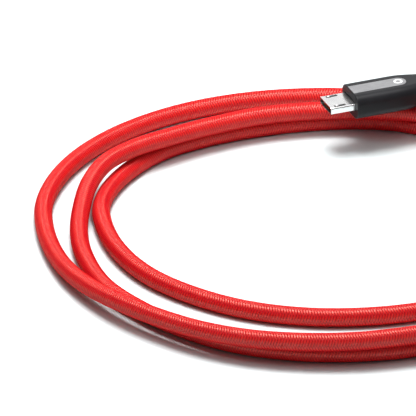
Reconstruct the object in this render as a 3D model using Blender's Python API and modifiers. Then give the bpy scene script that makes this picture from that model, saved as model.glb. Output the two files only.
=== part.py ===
"""Charging cable: a loosely coiled braided lead, a Micro-B plug on one end, a USB-A plug on the other.

Metres, +Z up. The origin is on the surface that the cable lies on, under the middle of its outline.
Each plug is modelled about the middle of its housing's front face, with its nose towards +X and its
wide side up, and an empty carries it to its place.
"""
import math

import bmesh
import bpy
from mathutils import Matrix, Vector

# The lead: a round braided cord, and the middle of its coil as seen from the origin
CORD_DIAMETER = 0.0042
CORD_POINTS = 86
COIL_MIDDLE = Vector((-0.0083, 0.0002, 0.0))
JACKET_DIAMETER = 0.0034

# Where the plugs lie, from the middle of the coil: place, and the turn of the nose from +X
MICRO_PLACE = Vector((0.0053, 0.0429, 0.0120))
MICRO_TURN = math.radians(202.0)
USB_A_PLACE = Vector((0.0315, -0.0153, 0.0041))
USB_A_TURN = math.radians(-90.0)

# Gaps between pieces: between casings, and inside the small connectors
GAP = 0.0003
FINE_GAP = 0.0001

# Micro-B plug: metal shell, contacts and latches
MICRO_SHELL_WIDTH = 0.00685
MICRO_SHELL_NARROW = 0.0058
MICRO_SHELL_HEIGHT = 0.0018
MICRO_SHELL_NOSE = 0.0061
MICRO_SHELL_TAIL = -0.0046
MICRO_SHELL_WALL = 0.0003
MICRO_PITCH = 0.00065
MICRO_CONTACTS = 5
MICRO_ROOT = Vector((-0.0040, 0.0, -0.00024))
LATCH_ROOT = Vector((-0.0042, 0.00255, 0.00043))
LATCH_WIDTH = 0.0005
LATCH_SLOT = (0.0022, 0.0050, 0.0008)

# Micro-B plug: casing
MICRO_WIDTH = 0.0097
MICRO_HEIGHT = 0.0060
MICRO_LENGTH = 0.0240
MICRO_CORNER = 0.0021
MICRO_PANEL = (0.0038, 0.0139, 0.0004)

# USB-A plug: metal shell and contacts
USB_A_SHELL_WIDTH = 0.0120
USB_A_SHELL_HEIGHT = 0.0045
USB_A_SHELL_NOSE = 0.01175
USB_A_SHELL_TAIL = -0.0065
USB_A_SHELL_WALL = 0.0003
USB_A_WINDOW = (0.0025, 0.0023)
USB_A_WINDOW_PLACE = (0.0055, 0.00285)
USB_A_CONTACT_PLACES = (-0.0035, -0.0010, 0.0010, 0.0035)

# USB-A plug: casing
USB_A_WIDTH = 0.0156
USB_A_HEIGHT = 0.0080
USB_A_LENGTH = 0.0300
USB_A_CORNER = 0.0026
USB_A_PANEL = (0.0062, 0.0180, 0.0004)

# Strain reliefs: length outside the casing, bore, and radii at the casing and at the free end
RELIEF_LENGTH = 0.0130
RELIEF_BORE = 0.00185

CORNER_STEPS = 4
TURNED_STEPS = 24

# The route of the lead from the middle of its coil, from the Micro-B plug to the USB-A plug.
ROUTE = [
    # down from the plug that lies on the coil, and round the right-hand side on the floor
    (0.0402, 0.0570, 0.0120), (0.0465, 0.0595, 0.0118), (0.0542, 0.0609, 0.0110),
    (0.0625, 0.0595, 0.0092), (0.0710, 0.0530, 0.0068), (0.0772, 0.0425, 0.0045),
    (0.0808, 0.0290, 0.0026), (0.0818, 0.0130, 0.0022), (0.0790, -0.0040, 0.0021),
    (0.0730, -0.0200, 0.0022), (0.0640, -0.0345, 0.0030), (0.0520, -0.0470, 0.0043),
    (0.0370, -0.0565, 0.0059),
    # first pass: across the front on top of the second pass, then down to the floor on the left
    (0.0197, -0.0626, 0.0064), (0.0065, -0.0654, 0.0062), (-0.0064, -0.0655, 0.0060),
    (-0.0179, -0.0635, 0.0058), (-0.0294, -0.0586, 0.0055), (-0.0385, -0.0522, 0.0052),
    (-0.0465, -0.0447, 0.0048), (-0.0536, -0.0353, 0.0038), (-0.0586, -0.0260, 0.0030),
    (-0.0623, -0.0149, 0.0022), (-0.0646, -0.0030, 0.0021), (-0.0651, 0.0090, 0.0021),
    (-0.0631, 0.0200, 0.0021), (-0.0590, 0.0306, 0.0021), (-0.0518, 0.0417, 0.0021),
    # across the back as the outermost strand, and round the right
    (-0.0420, 0.0513, 0.0021), (-0.0314, 0.0581, 0.0021), (-0.0195, 0.0627, 0.0021),
    (-0.0064, 0.0650, 0.0021), (0.0064, 0.0649, 0.0021), (0.0200, 0.0616, 0.0021),
    (0.0340, 0.0552, 0.0021), (0.0465, 0.0453, 0.0021), (0.0565, 0.0315, 0.0021),
    (0.0623, 0.0155, 0.0021), (0.0635, -0.0020, 0.0021), (0.0602, -0.0190, 0.0021),
    (0.0525, -0.0342, 0.0021), (0.0420, -0.0463, 0.0021), (0.0310, -0.0550, 0.0021),
    # second pass: across the front on the floor, and over the third pass on the left
    (0.0188, -0.0608, 0.0021), (0.0050, -0.0632, 0.0021), (-0.0087, -0.0626, 0.0021),
    (-0.0225, -0.0584, 0.0021), (-0.0340, -0.0508, 0.0021), (-0.0437, -0.0412, 0.0021),
    (-0.0504, -0.0317, 0.0021), (-0.0548, -0.0195, 0.0021), (-0.0568, -0.0070, 0.0022),
    (-0.0566, 0.0040, 0.0032), (-0.0546, 0.0140, 0.0056), (-0.0508, 0.0225, 0.0066),
    (-0.0450, 0.0294, 0.0066),
    # across the back on top of the third pass, and down to the floor on the right
    (-0.0360, 0.0361, 0.0064), (-0.0263, 0.0422, 0.0062), (-0.0150, 0.0472, 0.0062),
    (-0.0020, 0.0499, 0.0061), (0.0100, 0.0501, 0.0060), (0.0220, 0.0479, 0.0065),
    (0.0330, 0.0432, 0.0067), (0.0425, 0.0350, 0.0052), (0.0490, 0.0240, 0.0036),
    (0.0523, 0.0115, 0.0023), (0.0523, -0.0020, 0.0021), (0.0490, -0.0150, 0.0021),
    (0.0425, -0.0270, 0.0021), (0.0325, -0.0370, 0.0021),
    # third pass: the innermost, on the floor, then in under the second pass to the USB-A plug
    (0.0197, -0.0432, 0.0021), (0.0060, -0.0459, 0.0021), (-0.0070, -0.0455, 0.0021),
    (-0.0195, -0.0420, 0.0021), (-0.0310, -0.0352, 0.0021), (-0.0408, -0.0258, 0.0021),
    (-0.0473, -0.0145, 0.0021), (-0.0510, -0.0020, 0.0021), (-0.0519, 0.0090, 0.0021),
    (-0.0496, 0.0190, 0.0021), (-0.0448, 0.0286, 0.0021), (-0.0378, 0.0372, 0.0021),
    (-0.0283, 0.0437, 0.0021), (-0.0170, 0.0487, 0.0021), (-0.0050, 0.0519, 0.0021),
    (0.0070, 0.0530, 0.0021), (0.0170, 0.0517, 0.0021), (0.0242, 0.0484, 0.0021),
    (0.0290, 0.0428, 0.0023), (0.0312, 0.0358, 0.0035), (0.0315, 0.0286, 0.0041),
]


def new_collection(name):
    group = bpy.data.collections.new(name)
    bpy.context.scene.collection.children.link(group)
    return group


def new_material(name, colour, roughness, metallic=0.0):
    made = bpy.data.materials.new(name)
    made.use_nodes = True
    shader = made.node_tree.nodes["Principled BSDF"]
    shader.inputs["Base Color"].default_value = (*colour, 1.0)
    shader.inputs["Roughness"].default_value = roughness
    shader.inputs["Metallic"].default_value = metallic
    made.diffuse_color = (*colour, 1.0)
    return made


def add_object(name, data, parent, place=(0.0, 0.0, 0.0)):
    """One sub-part, in the frame of the plug that carries it."""
    made = bpy.data.objects.new(name, data)
    PARTS.objects.link(made)
    made.parent = parent
    made.location = place
    return made


def finish(made, colour, roughness, metallic=0.0, smooth=False):
    """Gives the sub-part its own material, and smooth shading if it is round."""
    made.data.materials.append(new_material(made.name, colour, roughness, metallic))
    if smooth:
        made.data.shade_smooth()
        made.data.set_sharp_from_angle(angle=math.radians(40.0))
    return made


def mesh_of_curve(curve):
    """The closed mesh of a curve, with its loose caps welded on."""
    holder = bpy.data.objects.new(curve.name, curve)
    PARTS.objects.link(holder)
    graph = bpy.context.evaluated_depsgraph_get()
    mesh = bpy.data.meshes.new_from_object(holder.evaluated_get(graph))
    bpy.data.objects.remove(holder)
    cleaned = bmesh.new()
    cleaned.from_mesh(mesh)
    bmesh.ops.remove_doubles(cleaned, verts=cleaned.verts, dist=1e-7)
    bmesh.ops.recalc_face_normals(cleaned, faces=cleaned.faces)
    cleaned.to_mesh(mesh)
    cleaned.free()
    return mesh


def flat_mesh(name, outlines, depth):
    """A flat outline in X and Y, with any holes in it, made depth thick about Z = 0."""
    curve = bpy.data.curves.new(name, "CURVE")
    curve.dimensions = "2D"
    curve.fill_mode = "BOTH"
    curve.extrude = depth / 2
    for outline in outlines:
        spline = curve.splines.new("POLY")
        spline.points.add(len(outline) - 1)
        for point, (across, up) in zip(spline.points, outline):
            point.co = (across, up, 0.0, 1.0)
        spline.use_cyclic_u = True
    return mesh_of_curve(curve)


def section_mesh(name, outlines, low, high):
    """A section drawn in Y and Z and run along X from low to high."""
    mesh = flat_mesh(name, outlines, high - low)
    turn = Matrix(((0, 0, 1, (low + high) / 2), (1, 0, 0, 0), (0, 1, 0, 0), (0, 0, 0, 1)))
    mesh.transform(turn)
    return mesh


def side_mesh(name, outline, width):
    """A side view drawn in X and Z and made width wide about Y = 0."""
    mesh = flat_mesh(name, [outline], width)
    mesh.transform(Matrix.Rotation(math.radians(90.0), 4, "X"))
    return mesh


def box_mesh(name, low, high):
    """A box between two corners."""
    size = Vector(high) - Vector(low)
    middle = (Vector(high) + Vector(low)) / 2
    box = bmesh.new()
    bmesh.ops.create_cube(box, size=1.0)
    bmesh.ops.scale(box, vec=size, verts=box.verts)
    bmesh.ops.translate(box, vec=middle, verts=box.verts)
    mesh = bpy.data.meshes.new(name)
    box.to_mesh(mesh)
    box.free()
    return mesh


def rod_mesh(name, radius, low, high):
    """A round rod along X from low to high."""
    rod = bmesh.new()
    bmesh.ops.create_cone(rod, cap_ends=True, segments=TURNED_STEPS, radius1=radius,
                          radius2=radius, depth=high - low)
    bmesh.ops.rotate(rod, matrix=Matrix.Rotation(math.radians(90.0), 3, "Y"), verts=rod.verts)
    bmesh.ops.translate(rod, vec=((low + high) / 2, 0.0, 0.0), verts=rod.verts)
    mesh = bpy.data.meshes.new(name)
    rod.to_mesh(mesh)
    rod.free()
    return mesh


def rounded_outline(width, height, corner):
    """The points of a rounded rectangle in Y and Z, the same number for every size."""
    corner = min(corner, width / 2, height / 2)
    points = []
    for quarter in range(4):
        side_y = 1 if quarter in (0, 3) else -1
        side_z = 1 if quarter in (0, 1) else -1
        for step in range(CORNER_STEPS + 1):
            angle = math.radians(90.0) * (quarter + step / CORNER_STEPS)
            across = side_y * (width / 2 - corner) + corner * math.cos(angle)
            up = side_z * (height / 2 - corner) + corner * math.sin(angle)
            points.append((across, up))
    return points


def loft_mesh(name, outer, inner):
    """A casing between two runs of sections, each (x, width, height, corner), open at both ends."""
    shape = bmesh.new()
    runs = []
    for sections in (outer, inner):
        rings = []
        for along, width, height, corner in sections:
            outline = rounded_outline(width, height, corner)
            rings.append([shape.verts.new((along, across, up)) for across, up in outline])
        runs.append(rings)
    rings = runs[0] + runs[1][::-1]
    count = len(rings[0])
    for ring, following in zip(rings, rings[1:] + rings[:1]):
        for index in range(count):
            after = (index + 1) % count
            shape.faces.new((ring[index], ring[after], following[after], following[index]))
    bmesh.ops.recalc_face_normals(shape, faces=shape.faces)
    mesh = bpy.data.meshes.new(name)
    shape.to_mesh(mesh)
    shape.free()
    return mesh


def turned(name, profile, parent):
    """A ring turned about the plug's X axis from a closed profile of (x, radius)."""
    mesh = bpy.data.meshes.new(name)
    points = [(radius, 0.0, along) for along, radius in profile]
    edges = [(index, (index + 1) % len(points)) for index in range(len(points))]
    mesh.from_pydata(points, edges, [])
    made = add_object(name, mesh, parent)
    made.rotation_euler = (0.0, math.radians(90.0), 0.0)
    screw = made.modifiers.new("turn", "SCREW")
    screw.angle = math.tau
    screw.steps = TURNED_STEPS
    screw.render_steps = TURNED_STEPS
    screw.use_merge_vertices = True
    screw.merge_threshold = 0.00001
    screw.use_smooth_shade = True
    return made


def cut(made, name, mesh):
    """Takes one cutter's shape out of a sub-part."""
    cutter = bpy.data.objects.new(name, mesh)
    CUTTERS.objects.link(cutter)
    cutter.parent = made.parent
    cutter.location = made.location
    cutter.hide_render = True
    cutter.display_type = "WIRE"
    boolean = made.modifiers.new(name, "BOOLEAN")
    boolean.operation = "DIFFERENCE"
    boolean.solver = "EXACT"
    boolean.object = cutter


def smooth_route(points, steps):
    """Points along a smooth curve that passes through the given ones."""
    points = [Vector(point) for point in points]
    spans = [(after - before).length for before, after in zip(points, points[1:])]
    slopes = []
    for index in range(len(points)):
        before = max(index - 1, 0)
        after = min(index, len(spans) - 1)
        rise_in = (points[before + 1] - points[before]) / spans[before]
        rise_out = (points[after + 1] - points[after]) / spans[after]
        weight = spans[after] / (spans[before] + spans[after])
        slopes.append(rise_in * weight + rise_out * (1 - weight))
    route = []
    for index, span in enumerate(spans):
        for step in range(steps):
            part = step / steps
            square = part * part
            cube = square * part
            route.append(points[index] * (2 * cube - 3 * square + 1)
                         + slopes[index] * span * (cube - 2 * square + part)
                         + points[index + 1] * (3 * square - 2 * cube)
                         + slopes[index + 1] * span * (cube - square))
    route.append(points[-1])
    return route


def even_points(route, count):
    """The given number of points at even distances along a route."""
    lengths = [0.0]
    for before, after in zip(route, route[1:]):
        lengths.append(lengths[-1] + (after - before).length)
    even = []
    index = 0
    for number in range(count):
        wanted = lengths[-1] * number / (count - 1)
        while index < len(route) - 2 and lengths[index + 1] < wanted:
            index += 1
        part = (wanted - lengths[index]) / (lengths[index + 1] - lengths[index])
        even.append(route[index].lerp(route[index + 1], min(part, 1.0)))
    return even


def tube(name, points, diameter, sides, parent):
    """A round tube along points, with closed ends."""
    curve = bpy.data.curves.new(name, "CURVE")
    curve.dimensions = "3D"
    curve.bevel_depth = diameter / 2
    curve.bevel_resolution = sides
    curve.use_fill_caps = True
    spline = curve.splines.new("POLY")
    spline.points.add(len(points) - 1)
    for point, place in zip(spline.points, points):
        point.co = (*place, 1.0)
    return add_object(name, curve, parent)


def casing(prefix, outer, inner, panel, top, colour, parent):
    """The glossy moulded casing of a plug, and the flat inlay in the recess in its top."""
    width, length, depth = panel
    housing = add_object(prefix + "_housing", loft_mesh(prefix + "_housing", outer, inner), parent)
    outline = panel_outline(width, length)
    recess = flat_mesh(prefix + "_recess", [panel_outline(width + 2 * FINE_GAP, length + FINE_GAP)],
                       2 * (depth + FINE_GAP))
    recess.transform(Matrix.Translation((0.0, 0.0, top)))
    cut(housing, prefix + "_recess", recess)
    finish(housing, colour, 0.18, smooth=True)
    inlay = flat_mesh(prefix + "_top_panel", [outline], depth)
    inlay.transform(Matrix.Translation((0.0, 0.0, top - depth / 2)))
    finish(add_object(prefix + "_top_panel", inlay, parent), (0.42, 0.42, 0.43), 0.35, 0.8)


def panel_outline(width, length):
    """A straight-sided strip from the front edge back to a round end."""
    half = width / 2
    outline = [(-0.0002, -half), (-0.0002, half)]
    for step in range(13):
        angle = math.radians(90.0 + 180.0 * step / 12)
        outline.append((half - length + half * math.cos(angle), half * math.sin(angle)))
    return outline


def cable_end(prefix, face, wires, stripped, housing_end, shoulder, parent):
    """What joins the lead to a plug: wires, jacket end, crimp ring and strain relief.

    face is the x of the block that the wires are soldered to, wires their places across it,
    stripped the x where the jacket is cut, housing_end the x of the casing's rear edge and
    shoulder the strain relief's radius there.
    """
    relief_end = housing_end - GAP - RELIEF_LENGTH
    wire_diameter = 0.0007
    colours = {"red": (0.6, 0.02, 0.02), "white": (0.8, 0.8, 0.78), "green": (0.02, 0.3, 0.06),
               "black": (0.02, 0.02, 0.02)}
    for index, (name, colour) in enumerate(colours.items()):
        around = math.radians(135.0 + 90.0 * index)
        rear = Vector((stripped + GAP, 0.0007 * math.cos(around), 0.0007 * math.sin(around)))
        front = Vector((face - GAP, wires[index], 0.0))
        run = Vector((rear.x - front.x, 0.0, 0.0))
        stops = [front, front + run * 0.2, rear - run * 0.2, rear]
        wire = tube(prefix + "_wire_" + name, even_points(smooth_route(stops, 6), 8), wire_diameter,
                    1, parent)
        finish(wire, colour, 0.4)
    jacket = rod_mesh(prefix + "_jacket_end", JACKET_DIAMETER / 2, relief_end + GAP, stripped)
    finish(add_object(prefix + "_jacket_end", jacket, parent), (0.05, 0.05, 0.05), 0.6, smooth=True)
    ring_front = stripped - 0.0012
    ring_back = ring_front - 0.0028
    bore = JACKET_DIAMETER / 2 + FINE_GAP
    ring = turned(prefix + "_crimp_ring", [(ring_front, bore + 0.0004), (ring_back, bore + 0.0004),
                                           (ring_back, bore), (ring_front, bore)], parent)
    finish(ring, (0.55, 0.55, 0.56), 0.35, 1.0)
    collar = RELIEF_BORE + 0.0005
    relief = turned(prefix + "_strain_relief", [
        (housing_end + 0.0029, collar), (housing_end - GAP, collar), (housing_end - GAP, shoulder),
        (housing_end - 0.0050, shoulder - 0.0001), (relief_end + 0.0006, 0.0027),
        (relief_end + 0.0002, 0.0026), (relief_end, 0.0023), (relief_end, RELIEF_BORE),
        (housing_end + 0.0029, RELIEF_BORE)], parent)
    finish(relief, (0.02, 0.02, 0.022), 0.45)


def micro_shell(parent):
    """The stainless shell: wide on top, its two lower corners cut away, and two latch slots."""
    outlines = []
    for inset in (0.0, MICRO_SHELL_WALL):
        half = MICRO_SHELL_WIDTH / 2 - inset
        narrow = MICRO_SHELL_NARROW / 2 - inset * 0.6
        top = MICRO_SHELL_HEIGHT / 2 - inset
        ease = 0.00025 - inset * 0.5
        knee = -0.00055 + inset * 0.4
        outlines.append([(half, top - ease), (half - ease * 0.3, top - ease * 0.3),
                         (half - ease, top), (ease - half, top),
                         (ease * 0.3 - half, top - ease * 0.3), (-half, top - ease),
                         (-half, knee), (-narrow - ease * 0.3, -top + ease * 0.3),
                         (-narrow + ease, -top), (narrow - ease, -top),
                         (narrow + ease * 0.3, -top + ease * 0.3), (half, knee)])
    mesh = section_mesh("micro_shell", outlines, MICRO_SHELL_TAIL, MICRO_SHELL_NOSE)
    shell = add_object("micro_shell", mesh, parent)
    slot_start, slot_end, slot_width = LATCH_SLOT
    for side in (-1, 1):
        middle = side * LATCH_ROOT.y
        slot = box_mesh("micro_slot", (slot_start, middle - slot_width / 2, MICRO_SHELL_HEIGHT / 4),
                        (slot_end, middle + slot_width / 2, MICRO_SHELL_HEIGHT))
        cut(shell, "micro_slot", slot)
    finish(shell, (0.78, 0.78, 0.8), 0.18, 1.0)


def micro_contacts(parent):
    """The plastic carrier with a groove for each contact, and the five sprung contacts."""
    outline = [(-0.0045, -0.00055), (0.0056, -0.00055), (0.0056, -0.00005), (0.0, -0.00005),
               (0.0, 0.0005), (-0.0045, 0.0005)]
    carrier = add_object("micro_contact_carrier", side_mesh("micro_contact_carrier", outline, 0.0038),
                         parent)
    leaf = [(-0.0002, -0.00006), (0.0050, -0.00006), (0.0080, 0.00020), (0.0092, 0.00000),
            (0.0092, 0.00012), (0.0082, 0.00032), (0.0078, 0.00032), (0.0048, 0.00006),
            (-0.0002, 0.00006)]
    for number in range(MICRO_CONTACTS):
        across = (number - (MICRO_CONTACTS - 1) / 2) * MICRO_PITCH
        groove = box_mesh("micro_groove", (-0.0047, across - 0.00021, -0.00047),
                          (0.0058, across + 0.00021, 0.00022))
        cut(carrier, "micro_groove", groove)
        name = "micro_contact_" + str(number + 1)
        contact = add_object(name, side_mesh(name, leaf, 0.0003), parent,
                             MICRO_ROOT + Vector((0.0, across, 0.0)))
        finish(contact, (0.9, 0.66, 0.25), 0.25, 1.0)
    finish(carrier, (0.015, 0.015, 0.016), 0.5)


def micro_latches(parent):
    """The two spring latches: a strip rooted at the rear, its hook standing through the slot."""
    strip = [(-0.0002, -0.00008), (0.0088, -0.00008), (0.0088, 0.00052), (0.0084, 0.00066),
             (0.0081, 0.00066), (0.0074, 0.00008), (-0.0002, 0.00008)]
    for name, side in (("micro_latch_left", 1), ("micro_latch_right", -1)):
        place = Vector((LATCH_ROOT.x, side * LATCH_ROOT.y, LATCH_ROOT.z))
        latch = add_object(name, side_mesh(name, strip, LATCH_WIDTH), parent, place)
        finish(latch, (0.7, 0.7, 0.72), 0.25, 1.0)


def micro_plug(parent):
    """The Micro-B plug, from its nose to its strain relief."""
    micro_shell(parent)
    micro_contacts(parent)
    micro_latches(parent)
    block = box_mesh("micro_rear_block", (-0.0079, -0.0029, -0.0012), (-0.0049, 0.0029, 0.0012))
    finish(add_object("micro_rear_block", block, parent), (0.02, 0.02, 0.022), 0.5)
    mould = loft_mesh("micro_inner_mould",
                      [(-0.0049, 0.0074, 0.0043, 0.0012), (-0.0108, 0.0074, 0.0043, 0.0012),
                       (-0.0143, 0.0060, 0.0040, 0.0016)],
                      [(-0.0049, 0.0062, 0.0030, 0.0006), (-0.0108, 0.0062, 0.0030, 0.0006),
                       (-0.0143, 0.0044, 0.0028, 0.0010)])
    finish(add_object("micro_inner_mould", mould, parent), (0.7, 0.7, 0.66), 0.5, smooth=True)
    edge = 0.00018
    outer = [(0.0, MICRO_WIDTH - 2 * edge, MICRO_HEIGHT - 2 * edge, MICRO_CORNER - edge),
             (-edge, MICRO_WIDTH, MICRO_HEIGHT, MICRO_CORNER),
             (-0.0110, MICRO_WIDTH, MICRO_HEIGHT, MICRO_CORNER),
             (-0.0135, 0.0094, 0.00597, 0.0022), (-0.0160, 0.0085, 0.0059, 0.0024),
             (-0.0190, 0.0074, 0.0058, 0.0027), (-MICRO_LENGTH, 0.0062, 0.0058, 0.0029)]
    inner = [(0.0, 0.0071, 0.0021, 0.0004), (-0.0012, 0.0071, 0.0021, 0.0004),
             (-0.0012, 0.0078, 0.0047, 0.0014), (-0.0112, 0.0078, 0.0047, 0.0014),
             (-0.0160, 0.0062, 0.0048, 0.0020), (-0.0190, 0.0052, 0.0049, 0.0024),
             (-MICRO_LENGTH, 0.0050, 0.0050, 0.0025)]
    casing("micro", outer, inner, MICRO_PANEL, MICRO_HEIGHT / 2, (0.012, 0.012, 0.014), parent)
    cable_end("micro", -0.0079, (-0.0018, -0.0006, 0.0006, 0.0018), -0.0146, -MICRO_LENGTH, 0.0029,
              parent)


def usb_a_shell(parent):
    """The folded steel shell, with two square windows in its top and two in its underside."""
    outlines = [rounded_outline(USB_A_SHELL_WIDTH, USB_A_SHELL_HEIGHT, 0.0006),
                rounded_outline(USB_A_SHELL_WIDTH - 2 * USB_A_SHELL_WALL,
                                USB_A_SHELL_HEIGHT - 2 * USB_A_SHELL_WALL, 0.0003)]
    mesh = section_mesh("usb_a_shell", outlines, USB_A_SHELL_TAIL, USB_A_SHELL_NOSE)
    shell = add_object("usb_a_shell", mesh, parent)
    long, wide = USB_A_WINDOW
    along, across = USB_A_WINDOW_PLACE
    for side in (-1, 1):
        window = box_mesh("usb_a_window", (along - long / 2, side * across - wide / 2, -0.003),
                          (along + long / 2, side * across + wide / 2, 0.003))
        cut(shell, "usb_a_window", window)
    finish(shell, (0.78, 0.78, 0.8), 0.2, 1.0)


def usb_a_contacts(parent):
    """The plastic tongue in the lower half of the mouth, and the four flat contacts on it."""
    outline = [(-0.0062, -0.0018), (0.0112, -0.0018), (0.0112, 0.0), (0.0, 0.0), (0.0, 0.0018),
               (-0.0062, 0.0018)]
    tongue = add_object("usb_a_tongue", side_mesh("usb_a_tongue", outline, 0.0110), parent)
    finish(tongue, (0.75, 0.75, 0.73), 0.45)
    for number, across in enumerate(USB_A_CONTACT_PLACES):
        power = abs(across) > 0.002
        reach = 0.0104 if power else 0.0094
        name = "usb_a_contact_" + str(number + 1)
        strip = box_mesh(name, (GAP, across - 0.0005, FINE_GAP),
                         (reach, across + 0.0005, 0.00018 + FINE_GAP))
        finish(add_object(name, strip, parent), (0.9, 0.66, 0.25), 0.25, 1.0)


def usb_a_plug(parent):
    """The USB-A plug, from its nose to its strain relief."""
    usb_a_shell(parent)
    usb_a_contacts(parent)
    block = box_mesh("usb_a_rear_block", (-0.0105, -0.0052, -0.0017), (-0.0068, 0.0052, 0.0017))
    finish(add_object("usb_a_rear_block", block, parent), (0.75, 0.75, 0.73), 0.5)
    mould = loft_mesh("usb_a_inner_mould",
                      [(-0.0068, 0.0130, 0.0054, 0.0014), (-0.0180, 0.0130, 0.0054, 0.0014),
                       (-0.0213, 0.0098, 0.0046, 0.0018)],
                      [(-0.0068, 0.0112, 0.0040, 0.0008), (-0.0175, 0.0112, 0.0040, 0.0008),
                       (-0.0213, 0.0074, 0.0034, 0.0012)])
    finish(add_object("usb_a_inner_mould", mould, parent), (0.7, 0.7, 0.66), 0.5, smooth=True)
    edge = 0.00025
    outer = [(0.0, USB_A_WIDTH - 2 * edge, USB_A_HEIGHT - 2 * edge, USB_A_CORNER - edge),
             (-edge, USB_A_WIDTH, USB_A_HEIGHT, USB_A_CORNER),
             (-0.0190, USB_A_WIDTH, USB_A_HEIGHT, USB_A_CORNER),
             (-0.0220, 0.0146, 0.0079, 0.0028), (-0.0250, 0.0122, 0.0075, 0.0031),
             (-0.0275, 0.0098, 0.0071, 0.0033), (-USB_A_LENGTH, 0.0074, 0.0067, 0.00335)]
    inner = [(0.0, 0.0123, 0.0048, 0.00075), (-0.0015, 0.0123, 0.0048, 0.00075),
             (-0.0015, 0.0134, 0.0058, 0.0016), (-0.0185, 0.0134, 0.0058, 0.0016),
             (-0.0235, 0.0098, 0.0051, 0.0022), (-0.0270, 0.0062, 0.0050, 0.0025),
             (-USB_A_LENGTH, 0.0050, 0.0050, 0.0025)]
    casing("usb_a", outer, inner, USB_A_PANEL, USB_A_HEIGHT / 2, (0.012, 0.012, 0.014), parent)
    cable_end("usb_a", -0.0105, (-0.0036, -0.0012, 0.0012, 0.0036), -0.0216, -USB_A_LENGTH, 0.0032,
              parent)


def plug_place(name, place, turn):
    """The empty that carries a plug."""
    empty = bpy.data.objects.new(name, None)
    PARTS.objects.link(empty)
    empty.location = COIL_MIDDLE + place
    empty.rotation_euler = (0.0, 0.0, turn)
    return empty


def lead():
    """The braided cord along its whole route, as one plain tube."""
    route = [Vector(point) + COIL_MIDDLE for point in ROUTE]
    cord = tube("cord", even_points(smooth_route(route, 12), CORD_POINTS), CORD_DIAMETER, 3, None)
    finish(cord, (0.75, 0.02, 0.03), 0.5)


for leftover in list(bpy.data.objects):
    bpy.data.objects.remove(leftover)
PARTS = new_collection("charging_cable")
CUTTERS = new_collection("cutters")
lead()
micro_plug(plug_place("micro_plug", MICRO_PLACE, MICRO_TURN))
usb_a_plug(plug_place("usb_a_plug", USB_A_PLACE, USB_A_TURN))
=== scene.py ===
"""Charging cable: a coiled red braided lead with a Micro-B plug lying on it, and a USB-A plug."""
import math

import bmesh
import bpy
from mathutils import Matrix, Vector


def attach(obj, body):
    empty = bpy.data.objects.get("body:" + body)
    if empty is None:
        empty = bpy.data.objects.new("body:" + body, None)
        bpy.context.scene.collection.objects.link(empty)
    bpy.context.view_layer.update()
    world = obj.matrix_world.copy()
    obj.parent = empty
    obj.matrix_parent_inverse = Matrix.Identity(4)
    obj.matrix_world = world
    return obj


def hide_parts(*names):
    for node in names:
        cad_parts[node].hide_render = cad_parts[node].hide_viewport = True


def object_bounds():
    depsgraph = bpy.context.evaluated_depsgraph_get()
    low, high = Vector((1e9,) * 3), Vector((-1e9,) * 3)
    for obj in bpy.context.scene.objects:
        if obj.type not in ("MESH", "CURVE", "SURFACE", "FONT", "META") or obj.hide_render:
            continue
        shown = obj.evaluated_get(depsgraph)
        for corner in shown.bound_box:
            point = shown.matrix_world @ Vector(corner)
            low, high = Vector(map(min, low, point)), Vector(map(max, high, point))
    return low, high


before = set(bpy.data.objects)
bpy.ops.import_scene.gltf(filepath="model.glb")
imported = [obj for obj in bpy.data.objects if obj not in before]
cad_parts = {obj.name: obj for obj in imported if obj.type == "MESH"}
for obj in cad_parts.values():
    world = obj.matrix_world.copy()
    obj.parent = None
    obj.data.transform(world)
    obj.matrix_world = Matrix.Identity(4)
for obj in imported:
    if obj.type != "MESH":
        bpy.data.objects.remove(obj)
cad_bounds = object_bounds()


# ---- The table, the light and the camera ----
# The cable lies on a plain white table under a soft light hung over the coil, two larger ones
# behind it, a small one inside the coil and a faint sky overhead. The camera looks down on it at
# 27 degrees from so far off that nothing is foreshortened.

class Signal:
    """One value in a material's nodes: arithmetic on it adds Math nodes."""

    def __init__(self, tree, socket):
        self.tree = tree
        self.socket = socket

    def node(self, kind, settings, inputs, output=0):
        """Any other node: its settings first, then the values or links of its sockets."""
        made = self.tree.nodes.new(kind)
        for name, value in settings.items():
            if name == "stops":
                ramp = made.color_ramp
                ramp.elements[0].position, ramp.elements[0].color = value[0]
                ramp.elements[1].position, ramp.elements[1].color = value[-1]
                for position, colour in value[1:-1]:
                    ramp.elements.new(position).color = colour
            else:
                setattr(made, name, value)
        for name, value in inputs.items():
            if isinstance(value, Signal):
                self.tree.links.new(value.socket, made.inputs[name])
            else:
                made.inputs[name].default_value = value
        return Signal(self.tree, made.outputs[output])

    def math(self, operation, *others):
        values = {0: self}
        for index, other in enumerate(others):
            values[index + 1] = other
        return self.node("ShaderNodeMath", {"operation": operation}, values)

    def __add__(self, other):
        return self.math("ADD", other)

    def __sub__(self, other):
        return self.math("SUBTRACT", other)

    def __rsub__(self, other):
        return self.math("MULTIPLY", -1.0).math("ADD", other)

    def __mul__(self, other):
        return self.math("MULTIPLY", other)

    def __truediv__(self, other):
        return self.math("DIVIDE", other)

    def __pow__(self, other):
        return self.math("POWER", other)

    def __lt__(self, other):
        return self.math("LESS_THAN", other)

    __radd__ = __add__
    __rmul__ = __mul__

    def between(self, low, high):
        """0 where the value is low, 1 where it is high, and smooth between."""
        settings = {"interpolation_type": "SMOOTHSTEP"}
        return self.node("ShaderNodeMapRange", settings, {"Value": self, "From Min": low,
                                                          "From Max": high})

    def blend(self, low, high):
        """A colour between two, by this value."""
        return self.node("ShaderNodeMix", {"data_type": "RGBA"}, {"Factor": self, 6: low, 7: high}, 2)

    def bump(self, distance, strength=1.0):
        return self.node("ShaderNodeBump", {}, {"Height": self, "Distance": distance,
                                                "Strength": strength})


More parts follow.
